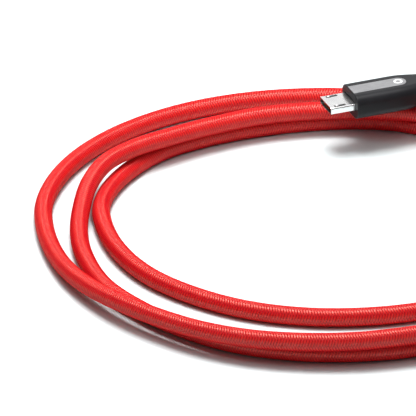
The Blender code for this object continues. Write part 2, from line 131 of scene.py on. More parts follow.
def new_finish(name, **fixed):
    """A material with its fixed inputs set, and its Object coordinates to build on."""
    finish = bpy.data.materials.new(name)
    finish.use_nodes = True
    shader = finish.node_tree.nodes["Principled BSDF"]
    for socket, value in fixed.items():
        shader.inputs[socket.replace("_", " ")].default_value = value
    place = Signal(finish.node_tree, None).node("ShaderNodeTexCoord", {}, {}, "Object")
    return finish, place


def feed(finish, **signals):
    """Links what changes over the surface to the material's shader."""
    shader = finish.node_tree.nodes["Principled BSDF"]
    for socket, signal in signals.items():
        finish.node_tree.links.new(signal.socket, shader.inputs[socket.replace("_", " ")])


def add_piece(name, mesh, finish):
    piece = bpy.data.objects.new(name, mesh)
    bpy.context.scene.collection.objects.link(piece)
    piece.data.materials.clear()
    piece.data.materials.append(finish)
    return piece


TABLE_HALF_WIDTH = 3.0
TABLE_CLEARANCE = 0.0001
ROOM_STRENGTH = 0.11
SKY_ANGLE = math.radians(60.0)
SKY_STRENGTH = 1.35
table_finish, table_place = new_finish("white_table", Roughness=0.6)
table_tone = table_place.node("ShaderNodeTexNoise", {}, {"Vector": table_place, "Scale": 6.0})
feed(table_finish, Base_Color=table_tone.blend((0.69, 0.755, 0.76, 1.0), (0.71, 0.775, 0.78, 1.0)))
table_shape = bmesh.new()
bmesh.ops.create_grid(table_shape, x_segments=1, y_segments=1, size=TABLE_HALF_WIDTH)
table_mesh = bpy.data.meshes.new("white_table")
table_shape.to_mesh(table_mesh)
table_shape.free()
table = add_piece("white_table", table_mesh, table_finish)
table.location.z = cad_bounds[0][2] - TABLE_CLEARANCE

room = bpy.data.worlds.new("pale_room")
bpy.context.scene.world = room
room.use_nodes = True
room.node_tree.nodes["Background"].inputs["Color"].default_value = (1.0, 1.0, 1.0, 1.0)
room.node_tree.nodes["Background"].inputs["Strength"].default_value = ROOM_STRENGTH
bpy.context.scene.view_settings.view_transform = "Standard"


def softbox(name, place, aim, size, power):
    """A square soft light turned towards a point, its size in metres and its power in watts."""
    light = bpy.data.lights.new(name, "AREA")
    light.size = size
    light.energy = power
    lamp = bpy.data.objects.new(name, light)
    bpy.context.scene.collection.objects.link(lamp)
    lamp.location = place
    lamp.rotation_euler = (Vector(aim) - Vector(place)).to_track_quat("-Z", "Y").to_euler()


softbox("light_over_the_coil", (-0.04, 0.03, 0.44), (-0.01, 0.0, 0.0), 0.20, 2.5)
softbox("panel_inside_the_coil", (-0.03, -0.015, 0.08), (-0.03, 0.20, 0.08), 0.05, 0.03)
softbox("light_behind_on_the_left", (-0.28, 0.85, 0.46), (-0.05, 0.0, 0.0), 0.26, 1.2)
softbox("white_card_behind", (0.0, 0.90, 0.46), (0.0, 0.04, 0.0), 0.60, 0.9)
sky = bpy.data.lights.new("sky_panel", "SUN")
sky.angle = SKY_ANGLE
sky.energy = SKY_STRENGTH
sky_lamp = bpy.data.objects.new("sky_panel", sky)
bpy.context.scene.collection.objects.link(sky_lamp)

VIEW_WIDTH = 0.0954
VIEW_DISTANCE = 3.0
VIEW_HEIGHT_ANGLE = math.radians(27.0)
VIEW_MIDDLE = Vector((-0.0358, 0.0125, 0.0))
lens = bpy.data.cameras.new("camera")
lens.sensor_width = 36.0
lens.lens = lens.sensor_width * VIEW_DISTANCE / VIEW_WIDTH
camera = bpy.data.objects.new("camera", lens)
bpy.context.scene.collection.objects.link(camera)
camera.location = VIEW_MIDDLE + VIEW_DISTANCE * Vector(
    (0.0, -math.cos(VIEW_HEIGHT_ANGLE), math.sin(VIEW_HEIGHT_ANGLE)))
camera.rotation_euler = (math.pi / 2 - VIEW_HEIGHT_ANGLE, 0.0, 0.0)
bpy.context.scene.camera = camera


# ---- The lead ----
# A round cord, 4.2 mm thick, sleeved in red nylon: sixteen flat yarns, eight each way round, are
# braided two over and two under, so the floats stand in columns along the cord like herringbone.
# It lies in three loose passes, one on another, and runs into the strain relief of each plug.

CORD_DIAMETER = 0.0042
YARNS_EACH_WAY = 8
YARN_PITCH = 0.00063
YARN_RELIEF = 0.00013
FILAMENTS_IN_YARN = 11.0
GLOSS_SHARE = 0.12
GLOSS_ROUGHNESS = 0.32
CORD_SIDES = 28
CORD_STEPS = 14
COIL_MIDDLE = Vector((-0.0083, 0.0002, 0.0))
# The same route as the model's, in metres from the middle of the coil
ROUTE = [
    # down from the plug that lies on the coil, and round the right-hand side on the floor
    (0.0402, 0.0570, 0.0120), (0.0465, 0.0595, 0.0118), (0.0542, 0.0609, 0.0110),
    (0.0625, 0.0595, 0.0092), (0.0710, 0.0530, 0.0068), (0.0772, 0.0425, 0.0045),
    (0.0808, 0.0290, 0.0026), (0.0818, 0.0130, 0.0022), (0.0790, -0.0040, 0.0021),
    (0.0730, -0.0200, 0.0022), (0.0640, -0.0345, 0.0030), (0.0520, -0.0470, 0.0043),
    (0.0370, -0.0565, 0.0059),
    # first pass: across the front on top of the second pass, then down to the floor on the left
    (0.0197, -0.0626, 0.0064), (0.0065, -0.0654, 0.0062), (-0.0064, -0.0655, 0.0060),
    (-0.0179, -0.0635, 0.0058), (-0.0294, -0.0586, 0.0055), (-0.0385, -0.0522, 0.0052),
    (-0.0465, -0.0447, 0.0048), (-0.0536, -0.0353, 0.0038), (-0.0586, -0.0260, 0.0030),
    (-0.0623, -0.0149, 0.0022), (-0.0646, -0.0030, 0.0021), (-0.0651, 0.0090, 0.0021),
    (-0.0631, 0.0200, 0.0021), (-0.0590, 0.0306, 0.0021), (-0.0518, 0.0417, 0.0021),
    # across the back as the outermost strand, and round the right
    (-0.0420, 0.0513, 0.0021), (-0.0314, 0.0581, 0.0021), (-0.0195, 0.0627, 0.0021),
    (-0.0064, 0.0650, 0.0021), (0.0064, 0.0649, 0.0021), (0.0200, 0.0616, 0.0021),
    (0.0340, 0.0552, 0.0021), (0.0465, 0.0453, 0.0021), (0.0565, 0.0315, 0.0021),
    (0.0623, 0.0155, 0.0021), (0.0635, -0.0020, 0.0021), (0.0602, -0.0190, 0.0021),
    (0.0525, -0.0342, 0.0021), (0.0420, -0.0463, 0.0021), (0.0310, -0.0550, 0.0021),
    # second pass: across the front on the floor, and over the third pass on the left
    (0.0188, -0.0608, 0.0021), (0.0050, -0.0632, 0.0021), (-0.0087, -0.0626, 0.0021),
    (-0.0225, -0.0584, 0.0021), (-0.0340, -0.0508, 0.0021), (-0.0437, -0.0412, 0.0021),
    (-0.0504, -0.0317, 0.0021), (-0.0548, -0.0195, 0.0021), (-0.0568, -0.0070, 0.0022),
    (-0.0566, 0.0040, 0.0032), (-0.0546, 0.0140, 0.0056), (-0.0508, 0.0225, 0.0066),
    (-0.0450, 0.0294, 0.0066),
    # across the back on top of the third pass, and down to the floor on the right
    (-0.0360, 0.0361, 0.0064), (-0.0263, 0.0422, 0.0062), (-0.0150, 0.0472, 0.0062),
    (-0.0020, 0.0499, 0.0061), (0.0100, 0.0501, 0.0060), (0.0220, 0.0479, 0.0065),
    (0.0330, 0.0432, 0.0067), (0.0425, 0.0350, 0.0052), (0.0490, 0.0240, 0.0036),
    (0.0523, 0.0115, 0.0023), (0.0523, -0.0020, 0.0021), (0.0490, -0.0150, 0.0021),
    (0.0425, -0.0270, 0.0021), (0.0325, -0.0370, 0.0021),
    # third pass: the innermost, on the floor, then in under the second pass to the USB-A plug
    (0.0197, -0.0432, 0.0021), (0.0060, -0.0459, 0.0021), (-0.0070, -0.0455, 0.0021),
    (-0.0195, -0.0420, 0.0021), (-0.0310, -0.0352, 0.0021), (-0.0408, -0.0258, 0.0021),
    (-0.0473, -0.0145, 0.0021), (-0.0510, -0.0020, 0.0021), (-0.0519, 0.0090, 0.0021),
    (-0.0496, 0.0190, 0.0021), (-0.0448, 0.0286, 0.0021), (-0.0378, 0.0372, 0.0021),
    (-0.0283, 0.0437, 0.0021), (-0.0170, 0.0487, 0.0021), (-0.0050, 0.0519, 0.0021),
    (0.0070, 0.0530, 0.0021), (0.0170, 0.0517, 0.0021), (0.0242, 0.0484, 0.0021),
    (0.0290, 0.0428, 0.0023), (0.0312, 0.0358, 0.0035), (0.0315, 0.0286, 0.0041),
]


def smooth_through(points, steps):
    """Points along a smooth curve that passes through the given ones."""
    points = [Vector(point) for point in points]
    spans = [(after - before).length for before, after in zip(points, points[1:])]
    slopes = []
    for index in range(len(points)):
        before = max(index - 1, 0)
        after = min(index, len(spans) - 1)
        rise_in = (points[before + 1] - points[before]) / spans[before]
        rise_out = (points[after + 1] - points[after]) / spans[after]
        weight = spans[after] / (spans[before] + spans[after])
        slopes.append(rise_in * weight + rise_out * (1 - weight))
    route = []
    for index, span in enumerate(spans):
        for step in range(steps):
            part = step / steps
            square = part * part
            cube = square * part
            route.append(points[index] * (2 * cube - 3 * square + 1)
                         + slopes[index] * span * (cube - 2 * square + part)
                         + points[index + 1] * (3 * square - 2 * cube)
                         + slopes[index + 1] * span * (cube - square))
    route.append(points[-1])
    return route


def braided_cord(name, route, sides, finish):
    """A round tube along the route, its UV counting yarns along it and round it."""
    shape = bmesh.new()
    braid_map = shape.loops.layers.uv.new("braid")
    heading = (route[1] - route[0]).normalized()
    side = heading.cross(Vector((0.0, 0.0, 1.0))).normalized()
    along = 0.0
    rings = []
    for index, centre in enumerate(route):
        after = route[min(index + 1, len(route) - 1)]
        before = route[max(index - 1, 0)]
        heading = (after - before).normalized()
        side = (side - heading * side.dot(heading)).normalized()
        up = side.cross(heading)
        along += (centre - before).length
        ring = []
        for number in range(sides):
            angle = math.tau * number / sides
            offset = side * math.cos(angle) + up * math.sin(angle)
            ring.append(shape.verts.new(centre + offset * CORD_DIAMETER / 2))
        rings.append((ring, along / YARN_PITCH))
    for (ring, start), (following, end) in zip(rings, rings[1:]):
        for number in range(sides):
            after = (number + 1) % sides
            face = shape.faces.new((ring[number], ring[after], following[after], following[number]))
            face.smooth = True
            around = (number * YARNS_EACH_WAY / sides, (number + 1) * YARNS_EACH_WAY / sides)
            corners = ((start, around[0]), (start, around[1]), (end, around[1]), (end, around[0]))
            for loop, corner in zip(face.loops, corners):
                loop[braid_map].uv = corner
    shape.faces.new(rings[0][0][::-1])
    shape.faces.new(rings[-1][0])
    bmesh.ops.recalc_face_normals(shape, faces=shape.faces)
    mesh = bpy.data.meshes.new(name)
    shape.to_mesh(mesh)
    shape.free()
    return add_piece(name, mesh, finish)


def braid_finish():
    """Two sets of yarns crossing: each float is a low cushion of fine glossy filaments, coloured with
    painted shade between floats and a painted sheen on their crowns.
    """
    finish, place = new_finish("red_braid", Specular_IOR_Level=0.0, Roughness=0.8)
    map_place = place.node("ShaderNodeUVMap", {"uv_map": "braid"}, {})
    along = map_place.node("ShaderNodeSeparateXYZ", {}, {"Vector": map_place}, "X")
    around = map_place.node("ShaderNodeSeparateXYZ", {}, {"Vector": map_place}, "Y")
    right = along + around
    left = along - around
    right_yarn = right.math("FLOOR")
    left_yarn = left.math("FLOOR")
    right_on_top = (right_yarn - left_yarn).math("FLOORED_MODULO", 4.0) < 1.5
    right_float = (left - right_yarn + 1.0).math("FLOORED_MODULO", 4.0) / 2.0
    left_float = (right - left_yarn - 2.0).math("FLOORED_MODULO", 4.0) / 2.0
    across = (right - right_yarn) * right_on_top + (left - left_yarn) * (1.0 - right_on_top)
    length = right_float * right_on_top + left_float * (1.0 - right_on_top)
    crown = (1.0 - (across * 2.0 - 1.0).math("ABSOLUTE") ** 2.6) ** 0.6
    arch = (length * (1.0 - length) * 4.0).math("MAXIMUM", 0.0) ** 0.5
    cushion = crown * (0.35 + 0.65 * arch)
    yarn = right_yarn.math("FLOORED_MODULO", YARNS_EACH_WAY) * right_on_top + (
        left_yarn.math("FLOORED_MODULO", YARNS_EACH_WAY) + YARNS_EACH_WAY) * (1.0 - right_on_top)
    strands = across.node("ShaderNodeCombineXYZ", {}, {"X": across * FILAMENTS_IN_YARN, "Y": length * 0.9,
                                                       "Z": yarn * 7.3 + along * 0.11})
    filament = strands.node("ShaderNodeTexNoise", {}, {"Vector": strands, "Scale": 1.0,
                                                       "Detail": 2.0, "Roughness": 0.6})
    batch = place.node("ShaderNodeTexNoise", {}, {"Vector": place, "Scale": 160.0, "Detail": 1.0})
    # The colour follows the cushions: darker in the gaps between floats, which is painted shade, and
    # lighter and warmer on their crowns, which is a painted sheen. The filament and batch noise add the
    # yarns' own uneven tone.
    light = (cushion * 0.72 + filament * 0.38 + batch * 0.12).between(0.2, 1.05)
    colour = light.node("ShaderNodeValToRGB", {"stops": [
        (0.0, (0.22, 0.0002, 0.0030, 1.0)), (0.35, (0.46, 0.0004, 0.007, 1.0)),
        (0.75, (0.61, 0.0010, 0.009, 1.0)), (1.0, (0.69, 0.020, 0.016, 1.0))]}, {"Fac": light})
    height = cushion + filament * 0.22
    relief = height.bump(YARN_RELIEF)
    feed(finish, Base_Color=colour, Normal=relief)
    gloss = place.node("ShaderNodeBsdfGlossy", {"distribution": "GGX"},
                       {"Color": (1.0, 0.70, 0.58, 1.0), "Roughness": GLOSS_ROUGHNESS, "Normal": relief})
    nodes = finish.node_tree.nodes
    dyed = Signal(finish.node_tree, nodes["Principled BSDF"].outputs[0])
    woven = place.node("ShaderNodeMixShader", {}, {0: filament * GLOSS_SHARE, 1: dyed, 2: gloss})
    finish.node_tree.links.new(woven.socket, nodes["Material Output"].inputs["Surface"])
    return finish


MICRO_PLACE = COIL_MIDDLE + Vector((0.0053, 0.0429, 0.0120))
MICRO_TURN = math.radians(202.0)
USB_A_PLACE = COIL_MIDDLE + Vector((0.0315, -0.0153, 0.0041))
USB_A_TURN = math.radians(-90.0)
CORD_TUCK = 0.0035
free_route = [Vector(point) + COIL_MIDDLE for point in ROUTE]
micro_heading = Matrix.Rotation(MICRO_TURN, 3, "Z") @ Vector((1.0, 0.0, 0.0))
usb_a_heading = Matrix.Rotation(USB_A_TURN, 3, "Z") @ Vector((1.0, 0.0, 0.0))
cord_route = smooth_through([free_route[0] + micro_heading * CORD_TUCK] + free_route
                            + [free_route[-1] + usb_a_heading * CORD_TUCK], CORD_STEPS)
cord_length = sum((after - before).length for before, after in zip(cord_route, cord_route[1:]))
cord = braided_cord("braided_cord", cord_route, CORD_SIDES, braid_finish())
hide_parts("cord")
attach(cord, "root")


# ---- The Micro-B plug's metal shell and its two spring latches ----
# Folded from 0.2 mm stainless sheet, nickel plated, with a butt seam underneath: wide on top, its
# two lower corners cut away. Each latch is a sprung strip whose hook stands up through a slot.

MICRO_PLUG = Matrix.Translation(MICRO_PLACE) @ Matrix.Rotation(MICRO_TURN, 4, "Z")
MICRO_SHEET = 0.0002
SEAM = 0.00008
SHARP_EDGE = math.radians(35.0)
MICRO_SHELL_TAIL = -0.0046
MICRO_SHELL_NOSE = 0.0061
MICRO_SHELL_CORNERS = [(0.003425, -0.00060, 0.0001), (0.003425, 0.0009, 0.00032),
                       (-0.003425, 0.0009, 0.00032), (-0.003425, -0.00060, 0.0001),
                       (-0.0029, -0.0009, 0.0002), (0.0029, -0.0009, 0.0002)]
LATCH_SLOTS = [(0.0022, 0.0050, -0.00295, -0.00215, 1), (0.0022, 0.0050, 0.00215, 0.00295, 1)]


def rounded(corners, steps=5):
    """The outline of a polygon, from its corners in turn: each (across, up, radius)."""
    outline = []
    for index, (across, up, radius) in enumerate(corners):
        corner = Vector((across, up))
        before = (Vector(corners[index - 1][:2]) - corner).normalized()
        after = (Vector(corners[(index + 1) % len(corners)][:2]) - corner).normalized()
        half = before.angle(after) / 2
        middle = corner + (before + after).normalized() * radius / math.sin(half)
        start = corner + before * radius / math.tan(half) - middle
        end = corner + after * radius / math.tan(half) - middle
        for step in range(steps + 1):
            outline.append(middle + start.slerp(end, step / steps).normalized() * start.length)
    return outline


def with_stops(outline, stops):
    """The same outline, with more points on its level stretches at the given places across."""
    fuller = []
    for point, following in zip(outline, outline[1:] + outline[:1]):
        fuller.append(point)
        low, high = sorted((point.x, following.x))
        if abs(point.y - following.y) < 1e-7:
            between = [stop for stop in stops if low < stop < high]
            for stop in sorted(between, reverse=following.x < point.x):
                fuller.append(Vector((stop, point.y)))
    return fuller


def make_piece(name, shape, plug, finish):
    """Puts a shape that is modelled about a plug's front face in its place, as a smooth piece."""
    mesh = bpy.data.meshes.new(name)
    shape.to_mesh(mesh)
    shape.free()
    mesh.transform(plug)
    mesh.shade_smooth()
    mesh.set_sharp_from_angle(angle=SHARP_EDGE)
    return add_piece(name, mesh, finish)


def apply_modifiers(piece):
    """Makes what the piece's modifiers give its plain mesh."""
    graph = bpy.context.evaluated_depsgraph_get()
    mesh = bpy.data.meshes.new_from_object(piece.evaluated_get(graph))
    piece.modifiers.clear()
    piece.data = mesh


def settle(piece):
    """Applies the piece's modifiers, then keeps its broad faces flat beside their rounded edges."""
    apply_modifiers(piece)
    piece.data.shade_smooth()
    piece.data.set_sharp_from_angle(angle=SHARP_EDGE)
    broad = piece.modifiers.new("broad_faces", "WEIGHTED_NORMAL")
    broad.keep_sharp = True
    broad.weight = 100
    apply_modifiers(piece)
    return piece


def soften(piece, width):
    """Rounds the piece's sharp edges."""
    bevel = piece.modifiers.new("soften", "BEVEL")
    bevel.width = width
    bevel.segments = 2
    bevel.limit_method = "ANGLE"
    bevel.angle_limit = math.radians(50.0)
    bevel.use_clamp_overlap = True


def folded_shell(name, corners, sheet, tail, nose, openings, plug):
    """A tube of folded sheet with a seam underneath; each opening is (back, front, from, to, side)."""
    openings = openings + [(tail - sheet, nose + sheet, -SEAM / 2, SEAM / 2, -1)]
    stops = [place for opening in openings for place in opening[2:4]]
    outline = with_stops(rounded(corners), stops)
    stations = sorted({tail, nose} | {place for opening in openings[:-1] for place in opening[:2]})
    shape = bmesh.new()
    rings = [[shape.verts.new((along, point.x, point.y)) for point in outline]
             for along in stations]
    for ring, following in zip(rings, rings[1:]):
        for index in range(len(ring)):
            after = (index + 1) % len(ring)
            corners_of_face = (ring[index], ring[after], following[after], following[index])
            middle = sum((corner.co for corner in corners_of_face), Vector()) / 4
            is_open = any(back < middle.x < front and start < middle.y < end and side * middle.z > 0
                          for back, front, start, end, side in openings)
            if not is_open:
                shape.faces.new(corners_of_face)
    loose = [corner for corner in shape.verts if not corner.link_faces]
    bmesh.ops.delete(shape, geom=loose, context="VERTS")
    shell = make_piece(name, shape, plug, nickel)
    # The inner faces take the second finish, a dark nickel that is painted shade inside the shell; the
    # sheet is plated alike on both sides.
    shell.data.materials.append(nickel_painted_shade)
    wall = shell.modifiers.new("wall", "SOLIDIFY")
    wall.material_offset = 1
    wall.thickness = sheet
    wall.offset = -1.0
    wall.use_even_offset = True
    soften(shell, 0.00005)
    return settle(shell)


def plate_finish(name, darker, lighter, roughness):
    """Nickel plate with the fine lengthwise marks of the press tool."""
    finish, place = new_finish(name, Metallic=1.0)
    marks = place.node("ShaderNodeTexNoise", {}, {"Vector": place, "Scale": 900.0, "Detail": 3.0})
    haze = place.node("ShaderNodeTexNoise", {}, {"Vector": place, "Scale": 260.0, "Detail": 2.0})
    feed(finish, Base_Color=haze.between(0.3, 0.7).blend(darker, lighter),
         Roughness=roughness + haze * 0.10 + marks * 0.06, Normal=marks.bump(0.000004))
    return finish


def refinish(finish, *names):
    """Gives parts of the model that stay as they are a finish."""
    for name in names:
        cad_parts[name].material_slots[0].material = finish


nickel = plate_finish("bright_nickel", (0.84, 0.84, 0.84, 1.0), (0.93, 0.93, 0.92, 1.0), 0.15)
# The same nickel made dark: painted shade for the insides of the shells.
nickel_painted_shade = plate_finish("nickel_painted_shade", (0.16, 0.155, 0.15, 1.0), (0.24, 0.23, 0.22, 1.0), 0.38)
micro_metal_shell = folded_shell("micro_metal_shell", MICRO_SHELL_CORNERS, MICRO_SHEET,
                                 MICRO_SHELL_TAIL, MICRO_SHELL_NOSE, LATCH_SLOTS, MICRO_PLUG)
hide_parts("micro_shell")
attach(micro_metal_shell, "root")

spring_steel, steel_place = new_finish("spring_steel", Metallic=1.0)
steel_grain = steel_place.node("ShaderNodeTexNoise", {}, {"Vector": steel_place, "Scale": 1500.0})
feed(spring_steel, Base_Color=steel_grain.blend((0.55, 0.55, 0.56, 1.0), (0.72, 0.72, 0.73, 1.0)),
     Roughness=0.22 + steel_grain * 0.15)
refinish(spring_steel, "micro_latch_left", "micro_latch_right")


# ---- The Micro-B plug's contacts and their carrier ----
# A tongue of black glass-filled plastic with a groove for each of five phosphor-bronze leaves,
# gold flashed, 0.65 mm apart. They bow up into the mouth and spring down together.

MICRO_CONTACTS = 5
MICRO_PITCH = 0.00065
MICRO_ROOT = Vector((-0.0040, 0.0, -0.00024))
LEAF_WIDTH = 0.0003
LEAF_HALF_THICKNESS = 0.00006
LEAF_LINE = [(-0.0002, 0.0), (0.0030, 0.0), (0.0049, 0.00001), (0.0066, 0.00014),
             (0.0082, 0.00030), (0.0091, 0.00026), (0.00975, 0.00012)]


def leaf_shape(line, width):
    """A strip of sheet that follows a line in X and Z."""
    shape = bmesh.new()
    rings = []
    smooth_line = smooth_through([(along, 0.0, up) for along, up in line], 4)
    for point in smooth_line:
        ring = []
        for across, up in ((-1, -1), (1, -1), (1, 1), (-1, 1)):
            offset = Vector((0.0, across * width / 2, up * LEAF_HALF_THICKNESS))
            ring.append(shape.verts.new(point + offset))
        rings.append(ring)
    for ring, following in zip(rings, rings[1:]):
        for index in range(4):
            after = (index + 1) % 4
            shape.faces.new((ring[index], ring[after], following[after], following[index]))
    shape.faces.new(rings[0])
    shape.faces.new(rings[-1])
    bmesh.ops.recalc_face_normals(shape, faces=shape.faces)
    return shape


def new_tree(name, inputs):
    """An empty node tree for a shape, with named inputs, and each of them as a Signal."""
    tree = bpy.data.node_groups.new(name, "GeometryNodeTree")
    for label, kind in [("Shape", "Geometry")] + inputs:
        tree.interface.new_socket(label, in_out="INPUT", socket_type="NodeSocket" + kind)
    tree.interface.new_socket("Result", in_out="OUTPUT", socket_type="NodeSocketGeometry")
    start = tree.nodes.new("NodeGroupInput")
    return tree, {label: Signal(tree, start.outputs[label])
                  for label in ["Shape"] + [label for label, kind in inputs]}


def end_tree(tree, shape, finish):
    """Ends a tree: instances made real, and the finish set."""
    real = shape.node("GeometryNodeRealizeInstances", {}, {"Geometry": shape})
    done = real.node("GeometryNodeSetMaterial", {}, {"Geometry": real, "Material": finish})
    tree.links.new(done.socket, tree.nodes.new("NodeGroupOutput").inputs["Result"])


def run_tree(piece, tree, **values):
    """Runs a tree on a piece with its inputs set, and makes the result the piece's mesh."""
    modifier = piece.modifiers.new(tree.name, "NODES")
    modifier.node_group = tree
    for item in tree.interface.items_tree:
        if item.in_out == "INPUT" and item.name in values:
            modifier[item.identifier] = values[item.name]
    return settle(piece)


def row_tree():
    """Copies of a shape in a row."""
    tree, inputs = new_tree("row", [("Count", "Int"), ("Step", "Vector"), ("Finish", "Material")])
    shape = inputs["Shape"]
    line = shape.node("GeometryNodeMeshLine", {}, {"Count": inputs["Count"],
                                                   "Offset": inputs["Step"]})
    copies = shape.node("GeometryNodeInstanceOnPoints", {}, {"Points": line, "Instance": shape})
    end_tree(tree, copies, inputs["Finish"])
    return tree


def contact_row(name, shape, first, step, count, plug):
    """A row of like contacts; first and step are in the plug's own directions."""
    bmesh.ops.translate(shape, verts=shape.verts, vec=first)
    contacts = make_piece(name, shape, plug, gold)
    turned_step = plug.to_3x3() @ Vector(step)
    return run_tree(contacts, rows, Count=count, Step=turned_step, Finish=gold)


gold, gold_place = new_finish("gold_flash", Metallic=1.0)
gold_wear = gold_place.node("ShaderNodeTexNoise", {}, {"Vector": gold_place, "Scale": 1200.0,
                                                       "Detail": 3.0})
feed(gold, Base_Color=gold_wear.between(0.35, 0.75).blend((0.93, 0.62, 0.20, 1.0),
                                                          (0.98, 0.78, 0.40, 1.0)),
     Roughness=0.16 + gold_wear * 0.14)
rows = row_tree()
first_leaf = MICRO_ROOT + Vector((0.0, -MICRO_PITCH * (MICRO_CONTACTS - 1) / 2, 0.0))
micro_leaves = contact_row("micro_contact_leaves", leaf_shape(LEAF_LINE, LEAF_WIDTH), first_leaf,
                           (0.0, MICRO_PITCH, 0.0), MICRO_CONTACTS, MICRO_PLUG)
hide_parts(*["micro_contact_" + str(number + 1) for number in range(MICRO_CONTACTS)])
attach(micro_leaves, "micro_contacts")


def moulded_finish(name, colour, roughness, grain, specular=0.5):
    """Moulded plastic: a slightly uneven colour and a fine spark-eroded grain."""
    finish, place = new_finish(name, Specular_IOR_Level=specular)
    cloud = place.node("ShaderNodeTexNoise", {}, {"Vector": place, "Scale": 140.0, "Detail": 2.0})
    speck = place.node("ShaderNodeTexNoise", {}, {"Vector": place, "Scale": 4200.0, "Detail": 2.0})
    darker = (*(part * 0.82 for part in colour), 1.0)
    lighter = (*(min(part * 1.15, 1.0) for part in colour), 1.0)
    feed(finish, Base_Color=cloud.between(0.3, 0.7).blend(darker, lighter),
         Roughness=roughness - 0.04 + cloud * 0.05 + speck * 0.03, Normal=speck.bump(grain))
    return finish


connector_black = moulded_finish("connector_black", (0.015, 0.015, 0.016), 0.45, 0.000006)
refinish(connector_black, "micro_contact_carrier", "micro_rear_block")


# ---- The casings of the plugs ----
# Each is one glossy black moulding over the natural-coloured inner mould, open at the front for
# the metal shell and at the rear for the strain relief, tapering from a flat front end to a round
# tail. Its top has a shallow recess for the inlay.

MICRO_SIZE = (0.0097, 0.0060, 0.0021)
MICRO_TAIL = -0.0240
MICRO_TAPER = [(-0.0100, 0.0097, 0.0060, 0.0021), (-0.0112, 0.0097, 0.0060, 0.0021),
               (-0.0136, 0.0094, 0.00597, 0.0022), (-0.0162, 0.0085, 0.0059, 0.0024),
               (-0.0190, 0.0074, 0.0058, 0.0027), (MICRO_TAIL, 0.0062, 0.0058, 0.0029)]
MICRO_MOUTH = (0.0071, 0.0021, 0.0004, 0.0012)
MICRO_HOLLOW = [(0.0078, 0.0047, 0.0014, -0.0112), (0.0062, 0.0048, 0.0020, -0.0160),
                (0.0050, 0.0050, 0.0025, MICRO_TAIL)]
MICRO_INLAY = (0.0038, 0.0139)
INLAY_DEPTH = 0.0004
INLAY_FRONT = -0.0002
INLAY_GAP = 0.00006


def box_section(shape, along, width, height, corner):
    """One ring of a casing: a rounded rectangle at a place along the plug."""
    corner = min(corner, width / 2 - 1e-5, height / 2 - 1e-5)
    outline = rounded([(width / 2, -height / 2, corner), (width / 2, height / 2, corner),
                       (-width / 2, height / 2, corner), (-width / 2, -height / 2, corner)], 8)
    return [shape.verts.new((along, point.x, point.y)) for point in outline]


def strip_shape(width, length, low, high):
    """A straight-sided strip from the front edge back to a round end, between two heights."""
    half = width / 2
    outline = [(INLAY_FRONT, -half), (INLAY_FRONT, half)]
    for step in range(33):
        angle = math.radians(90.0 + 180.0 * step / 32)
        outline.append((half - length + half * math.cos(angle), half * math.sin(angle)))
    shape = bmesh.new()
    ends = [[shape.verts.new((*point, height)) for point in outline] for height in (low, high)]
    shape.faces.new(ends[0])
    shape.faces.new(ends[1])
    for index in range(len(outline)):
        after = (index + 1) % len(outline)
        shape.faces.new((ends[0][index], ends[0][after], ends[1][after], ends[1][index]))
    bmesh.ops.recalc_face_normals(shape, faces=shape.faces)
    return shape


def casing(name, size, taper, mouth, hollow, inlay, plug, finish):
    """A plug's casing, with the recess for its inlay cut in its top."""
    width, height, corner = size
    edge = 0.00022
    shape = bmesh.new()
    rings = []
    for step in range(5):
        angle = math.radians(90.0 * step / 4)
        drop = edge * (1 - math.sin(angle))
        rings.append(box_section(shape, -edge * (1 - math.cos(angle)), width - 2 * drop,
                                 height - 2 * drop, corner - drop))
    for section in smooth_through(taper, 5):
        rings.append(box_section(shape, *section))
    tail = taper[-1]
    rings.append(box_section(shape, tail[0] - 0.0001, tail[1] - 0.0002, tail[2] - 0.0002, tail[3]))
    for hollow_width, hollow_height, hollow_corner, along in hollow[::-1]:
        rings.append(box_section(shape, along, hollow_width, hollow_height, hollow_corner))
    rings.append(box_section(shape, -mouth[3], *hollow[0][:3]))
    rings.append(box_section(shape, -mouth[3], *mouth[:3]))
    rings.append(box_section(shape, -edge / 2, *mouth[:3]))
    rings.append(box_section(shape, 0.0, mouth[0] + edge, mouth[1] + edge, mouth[2] + edge / 2))
    for ring, following in zip(rings, rings[1:] + rings[:1]):
        for index in range(len(ring)):
            after = (index + 1) % len(ring)
            shape.faces.new((ring[index], ring[after], following[after], following[index]))
    bmesh.ops.recalc_face_normals(shape, faces=shape.faces)
    made = make_piece(name, shape, plug, finish)
    strip = strip_shape(inlay[0] + 2 * INLAY_GAP, inlay[1] + INLAY_GAP,
                        height / 2 - INLAY_DEPTH - INLAY_GAP, height / 2 + INLAY_DEPTH)
    bmesh.ops.translate(strip, verts=strip.verts, vec=(-INLAY_GAP * 0.1, 0.0, 0.0))
    cutter = make_piece("recess", strip, plug, finish)
    recess = made.modifiers.new("recess", "BOOLEAN")
    recess.operation = "DIFFERENCE"
    recess.solver = "EXACT"
    recess.object = cutter
    settle(made)
    bpy.data.objects.remove(cutter)
    return made


gloss_black = moulded_finish("gloss_black", (0.014, 0.014, 0.016), 0.36, 0.0000020, 0.20)
micro_casing = casing("micro_casing", MICRO_SIZE, MICRO_TAPER, MICRO_MOUTH, MICRO_HOLLOW,
                      MICRO_INLAY, MICRO_PLUG, gloss_black)
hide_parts("micro_housing")
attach(micro_casing, "root")


# ---- The inlay in each casing's top ----
# A strip of brushed aluminium, anodised light grey, straight-sided from the front edge to a round
# end and glued in its recess. A plain white ring is printed near its round end.

RING_OUTSIDE = 0.00105
RING_INSIDE = 0.00062
INK_HEIGHT = 0.00002


